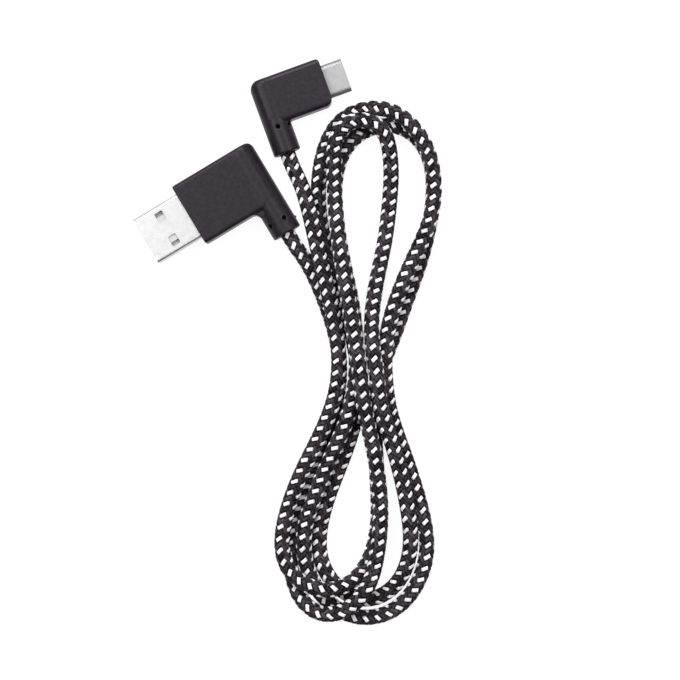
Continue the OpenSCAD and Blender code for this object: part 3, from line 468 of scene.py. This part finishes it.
def plated_material(name, color, roughness, brushed=0.004):
    """Plated sheet steel: drawn lightly along one axis, with a few worn specks. The height of
    the drawn lines, brushed, is in millimetres."""
    material, nodes, links, shader, place = material_base(name, color, roughness, 1.0)
    stretch = nodes.new("ShaderNodeMapping")
    stretch.inputs["Scale"].default_value = (900, 5200, 5200)
    links.new(place.outputs["Object"], stretch.inputs["Vector"])
    lines = noise(nodes, links, stretch.outputs["Vector"], 1.0, 3, 0.6)
    specks = noise(nodes, links, place.outputs["Object"], 700, 2)
    shown = ramp(nodes, links, specks, [(0.25, shade(color, 0.9)), (0.6, color)])
    links.new(shown, shader.inputs["Base Color"])
    links.new(remap(nodes, links, lines, roughness - 0.05, roughness + 0.09),
              shader.inputs["Roughness"])
    bump(nodes, links, shader, lines, brushed * MM)
    return material


def dress_nodes():
    """Materials for the frame's nodes that show as they are, and for the pieces inside."""
    gold = plated_material("contact_gold", (0.83, 0.60, 0.25), 0.22, 0.001)
    spring = plated_material("spring_steel", (0.55, 0.55, 0.56), 0.3, 0.001)
    mould = moulded_material("inner_mould", (0.55, 0.55, 0.52))
    looks = {
        # painted shade: the white insulator is given a mid grey, as it lies in the shell's shade
        "usb_a_insulator": moulded_material("insulator_white_painted_shade", (0.42, 0.42, 0.41), 0.45, 0.004),
        "usb_c_insulator": moulded_material("insulator_black", (0.015, 0.015, 0.016), 0.45, 0.004),
        "usb_a_inner_mould": mould,
        "usb_c_inner_mould": mould,
        "usb_c_contacts_upper": gold,
        "usb_c_contacts_lower": gold,
        "usb_c_latch_spring": spring,
        "usb_c_emi_spring_top": spring,
        "usb_c_emi_spring_bottom": spring,
        "usb_c_paddle_card": moulded_material("solder_mask", (0.01, 0.13, 0.05), 0.35, 0.002),
        "usb_c_resistor": moulded_material("resistor_body", (0.02, 0.02, 0.02), 0.4, 0.002),
    }
    jacket = moulded_material("inner_jacket", (0.02, 0.02, 0.021), 0.5)
    wires = {
        "red": moulded_material("wire_red", (0.5, 0.02, 0.02), 0.4, 0.003),
        "white": moulded_material("wire_white", (0.8, 0.8, 0.8), 0.4, 0.003),
        "green": moulded_material("wire_green", (0.02, 0.3, 0.06), 0.4, 0.003),
        "black": moulded_material("wire_black", (0.015, 0.015, 0.015), 0.4, 0.003),
    }
    for plug in ("usb_a", "usb_c"):
        looks[plug + "_jacket_end"] = jacket
        for color, material in wires.items():
            looks[f"{plug}_wire_{color}"] = material
    for pin in ("vbus", "dminus", "dplus", "gnd"):
        looks["usb_a_contact_" + pin] = gold
    for node, material in looks.items():
        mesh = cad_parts[node].data
        mesh.materials.clear()
        mesh.materials.append(material)


# ---- The plugs' outsides ----

def local_copy(node, place):
    """A copy of a frame node's mesh in its plug's own frame, in millimetres."""
    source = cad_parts[node].data
    mesh = bpy.data.meshes.new(node + "_copy")
    mesh.from_pydata([v.co for v in source.vertices], [], [f.vertices for f in source.polygons])
    mesh.transform(Matrix.Scale(1 / MM, 4) @ place.inverted())
    return mesh


def stand_in(obj, place, node, material):
    """Bakes obj's modifiers, puts it back in the part's frame and lets it stand for the node."""
    bpy.context.scene.collection.objects.link(obj)
    graph = bpy.context.evaluated_depsgraph_get()
    mesh = bpy.data.meshes.new_from_object(obj.evaluated_get(graph))
    obj.modifiers.clear()
    obj.data = mesh
    mesh.transform(place @ Matrix.Scale(MM, 4))
    mesh.materials.clear()
    mesh.materials.append(material)
    mesh.polygons.foreach_set("material_index", [0] * len(mesh.polygons))
    mesh.update()
    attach(obj, ROOT)
    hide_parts(node)
    return obj


# The plugs' outsides are worked on in millimetres
VOXEL, SMOOTHINGS = 0.14, 5      # what rounds the housings' edges
CREASE_END = 0.8                 # the filled crease runs out over this much at both ends
CREASE_DEPTH = 0.4               # only points this near the flat face, or above it, are lifted
PIN_REACH, PIN_SKIN = 0.7, 0.08  # what lies this near a pin hole and this far under the skin is in the hole, and gets painted shade


def fill_crease(point, plug):
    """Lifts a point of a housing, in its plug's frame, where the sleeve's round back meets the
    body's flat face, so that one runs softly into the other."""
    top, soft = plug["top"], plug["soft"]
    round_top = math.sqrt(max(plug["sleeve_r"] ** 2 - (point.x - plug["axis_x"]) ** 2, 0))
    lift = max(soft - abs(round_top - top), 0) ** 2 / (4 * soft)
    lift *= min(max((plug["crease_y"] - abs(point.y)) / CREASE_END, 0), 1)
    if lift and abs(point.z) > top - CREASE_DEPTH:
        point.z = math.copysign(max(abs(point.z), max(round_top, top) + lift), point.z)


def in_pin_hole(point, plug):
    """Whether a point of a housing, in its plug's frame, is under the skin at the pin holes."""
    depth = plug["sleeve_r"] - math.hypot(point.x - plug["axis_x"], point.z)
    return abs(point.y - plug["pin_y"]) < PIN_REACH and depth > PIN_SKIN


def make_housing(name, node, place, plug, material, pin_hole_shade):
    """A soft moulded housing: the frame's solid with every edge rounded a little, and with painted
    shade, a near-black colour, in its pin holes."""
    obj = bpy.data.objects.new(name, local_copy(node, place))
    remesh = obj.modifiers.new("remesh", "REMESH")
    remesh.mode = "VOXEL"
    remesh.voxel_size = VOXEL
    remesh.use_smooth_shade = True
    smooth = obj.modifiers.new("smooth", "SMOOTH")
    smooth.factor = 0.5
    smooth.iterations = SMOOTHINGS
    piece = stand_in(obj, place, node, material)
    to_plug = Matrix.Scale(1 / MM, 4) @ place.inverted()
    piece.data.transform(to_plug)
    for vertex in piece.data.vertices:
        fill_crease(vertex.co, plug)
    piece.data.materials.append(pin_hole_shade)
    # painted shade: faces down in the pin holes take the near-black copy of the rubber
    for face in piece.data.polygons:
        if in_pin_hole(face.center, plug):
            face.material_index = 1
    piece.data.transform(to_plug.inverted())


CUT_EDGE = math.radians(50)     # edges sharper than this are broken
SHARP_EDGE = math.radians(28)   # edges still sharper than this are shaded as sharp
SQUARE_ON = 0.9999              # a face that looks this nearly along a plug's axis is flat
INSIDE_BY = 0.1                 # a shell's inside lies at least this far under its outside
WELD = 0.001                    # corners nearer than this are one


def make_shell(name, node, place, plug, material, inside_shade):
    """A metal shell: the frame's sheet with its cut edges broken, and its inside rougher and
    painted much darker as shade.
    """
    mesh = local_copy(node, place)
    work = bmesh.new()
    work.from_mesh(mesh)
    bmesh.ops.remove_doubles(work, verts=work.verts, dist=WELD)
    work.to_mesh(mesh)
    work.free()
    obj = bpy.data.objects.new(name, mesh)
    edges = obj.modifiers.new("bevel", "BEVEL")
    edges.width = plug["bevel"]
    edges.segments = 3
    edges.limit_method = "ANGLE"
    edges.angle_limit = CUT_EDGE
    piece = stand_in(obj, place, node, material)
    piece.data.set_sharp_from_angle(angle=SHARP_EDGE)
    piece.data.materials.append(inside_shade)
    to_plug = place.inverted()
    inside_z = (plug["shell_h"] / 2 - INSIDE_BY) * MM
    for face in piece.data.polygons:
        way = to_plug.to_3x3() @ face.normal
        face.use_smooth = max(abs(c) for c in way) < SQUARE_ON
        middle = to_plug @ face.center
        faces_axis = way.dot(middle * Vector((0, 1, 1))) < 0
        # painted shade: faces inside the shell take the dark copy of the metal
        if abs(middle.z) < inside_z and faces_axis:
            face.material_index = 1


def make_plugs():
    """The plugs' housings and shells, which stand for the frame's own."""
    rubber = moulded_material("housing_rubber", (0.0124, 0.0076, 0.0132), 0.36, specular=0.2,
                              mottle=(1200, 0.3))
    # painted shade for the pin holes: a near-black copy of the rubber
    pin_hole_shade = moulded_material("housing_painted_hole_shade", (0.002, 0.0015, 0.002), 0.7, specular=0.05)
    make_housing("usb_a_soft_housing", "usb_a_housing", USB_A_PLACE, USB_A, rubber, pin_hole_shade)
    make_housing("usb_c_soft_housing", "usb_c_housing", USB_C_PLACE, USB_C, rubber, pin_hole_shade)
    # painted shade: a much darker, rougher copy of the nickel for the shells' insides
    inside_shade = plated_material("nickel_inside_shade", (0.08, 0.08, 0.08), 0.5)
    bright = plated_material("nickel_bright", (0.55, 0.55, 0.555), 0.3)
    satin = plated_material("nickel_satin", (0.275, 0.275, 0.28), 0.5, 0.001)
    make_shell("usb_a_metal_shell", "usb_a_shell", USB_A_PLACE, USB_A, bright, inside_shade)
    make_shell("usb_c_metal_shell", "usb_c_shell", USB_C_PLACE, USB_C, satin, inside_shade)


# ---- Floor and light ----

FLOOR_SIZE, FLOOR_Z = 4, -0.02 * MM
# the floor's even glow, and its glow in the painted shadow under the USB-A shell
FLOOR_GLOW, SHADED_GLOW = 0.91, 0.06
SHADE_X, SHADE_R = 6 * MM, 6 * MM   # the painted shadow under the USB-A shell: its middle and its radius
SHADE_EDGE = 0.35                   # the share of its radius over which it fades


def make_floor():
    """A table that glows to a plain white, with a painted shadow under the USB-A shell, where it
    glows less.
    """
    bpy.ops.mesh.primitive_plane_add(size=FLOOR_SIZE, location=(0, 0, FLOOR_Z))
    floor = bpy.context.object
    floor.name = "floor"
    material, nodes, links, shader, place = material_base("floor_white", (0.12, 0.12, 0.12), 0.9)
    shader.inputs["Specular IOR Level"].default_value = 0.05
    shader.inputs["Emission Color"].default_value = (1, 1, 1, 1)
    under = nodes.new("ShaderNodeMapping")
    under.vector_type = "TEXTURE"
    middle = USB_A_PLACE @ Vector((SHADE_X, 0, -USB_A_PLACE.translation.z))
    under.inputs["Location"].default_value = middle
    under.inputs["Rotation"].default_value = USB_A_PLACE.to_euler()
    under.inputs["Scale"].default_value = (SHADE_R,) * 3
    links.new(place.outputs["Object"], under.inputs["Vector"])
    shell = nodes.new("ShaderNodeTexGradient")
    shell.gradient_type = "SPHERICAL"
    links.new(under.outputs["Vector"], shell.inputs["Vector"])
    # painted shadow: the glow drops to almost nothing under the USB-A shell
    shown = ramp(nodes, links, shell.outputs["Fac"],
                 [(0.0, (FLOOR_GLOW,) * 3), (SHADE_EDGE, (SHADED_GLOW,) * 3)])
    links.new(shown, shader.inputs["Emission Strength"])
    floor.data.materials.append(material)


# The round lights over the table: name, place and watts
LIGHTS = [("left", (-0.48, 0.10, 0.9), 4.0), ("right", (0.55, 0.08, 0.9), 3.6),
          ("back", (-0.10, 0.60, 0.72), 7.0)]
LIGHT_SIZE = 0.5
SKY_LEAN = math.radians(25)   # how far the sky's brightest part leans to the picture's top
SKY_STRENGTH = 0.8
# The sky's grey at heights from the horizon, 0, to its top, 1. Over the last one it stays white
SKY = [(0.0, 0.02), (0.45, 0.6), (0.75, 1.0)]


def area_light(name, location, watts):
    """A round light that looks at the middle of the picture."""
    data = bpy.data.lights.new(name, "AREA")
    data.shape = "DISK"
    data.size = LIGHT_SIZE
    data.energy = watts
    light = bpy.data.objects.new(name, data)
    light.location = location
    light.rotation_mode = "QUATERNION"
    aim = Vector((*VIEW_CENTRE, 0))
    light.rotation_quaternion = (aim - Vector(location)).to_track_quat("-Z", "Y")
    bpy.context.scene.collection.objects.link(light)


def make_light():
    """The lights, and a sky that is brightest towards the picture's top and dark all round."""
    for light in LIGHTS:
        area_light(*light)
    world = bpy.data.worlds.new("studio")
    world.use_nodes = True
    nodes, links = world.node_tree.nodes, world.node_tree.links
    place = nodes.new("ShaderNodeTexCoord")
    lean = nodes.new("ShaderNodeMapping")
    lean.inputs["Rotation"].default_value = (SKY_LEAN, 0, 0)
    links.new(place.outputs["Generated"], lean.inputs["Vector"])
    parts = nodes.new("ShaderNodeSeparateXYZ")
    links.new(lean.outputs["Vector"], parts.inputs["Vector"])
    sky = ramp(nodes, links, parts.outputs["Z"], [(height, (grey,) * 3) for height, grey in SKY])
    links.new(sky, nodes["Background"].inputs["Color"])
    nodes["Background"].inputs["Strength"].default_value = SKY_STRENGTH
    bpy.context.scene.world = world
    bpy.context.scene.view_settings.view_transform = "Standard"


make_camera()
make_cord()
dress_nodes()
make_plugs()
make_floor()
make_light()
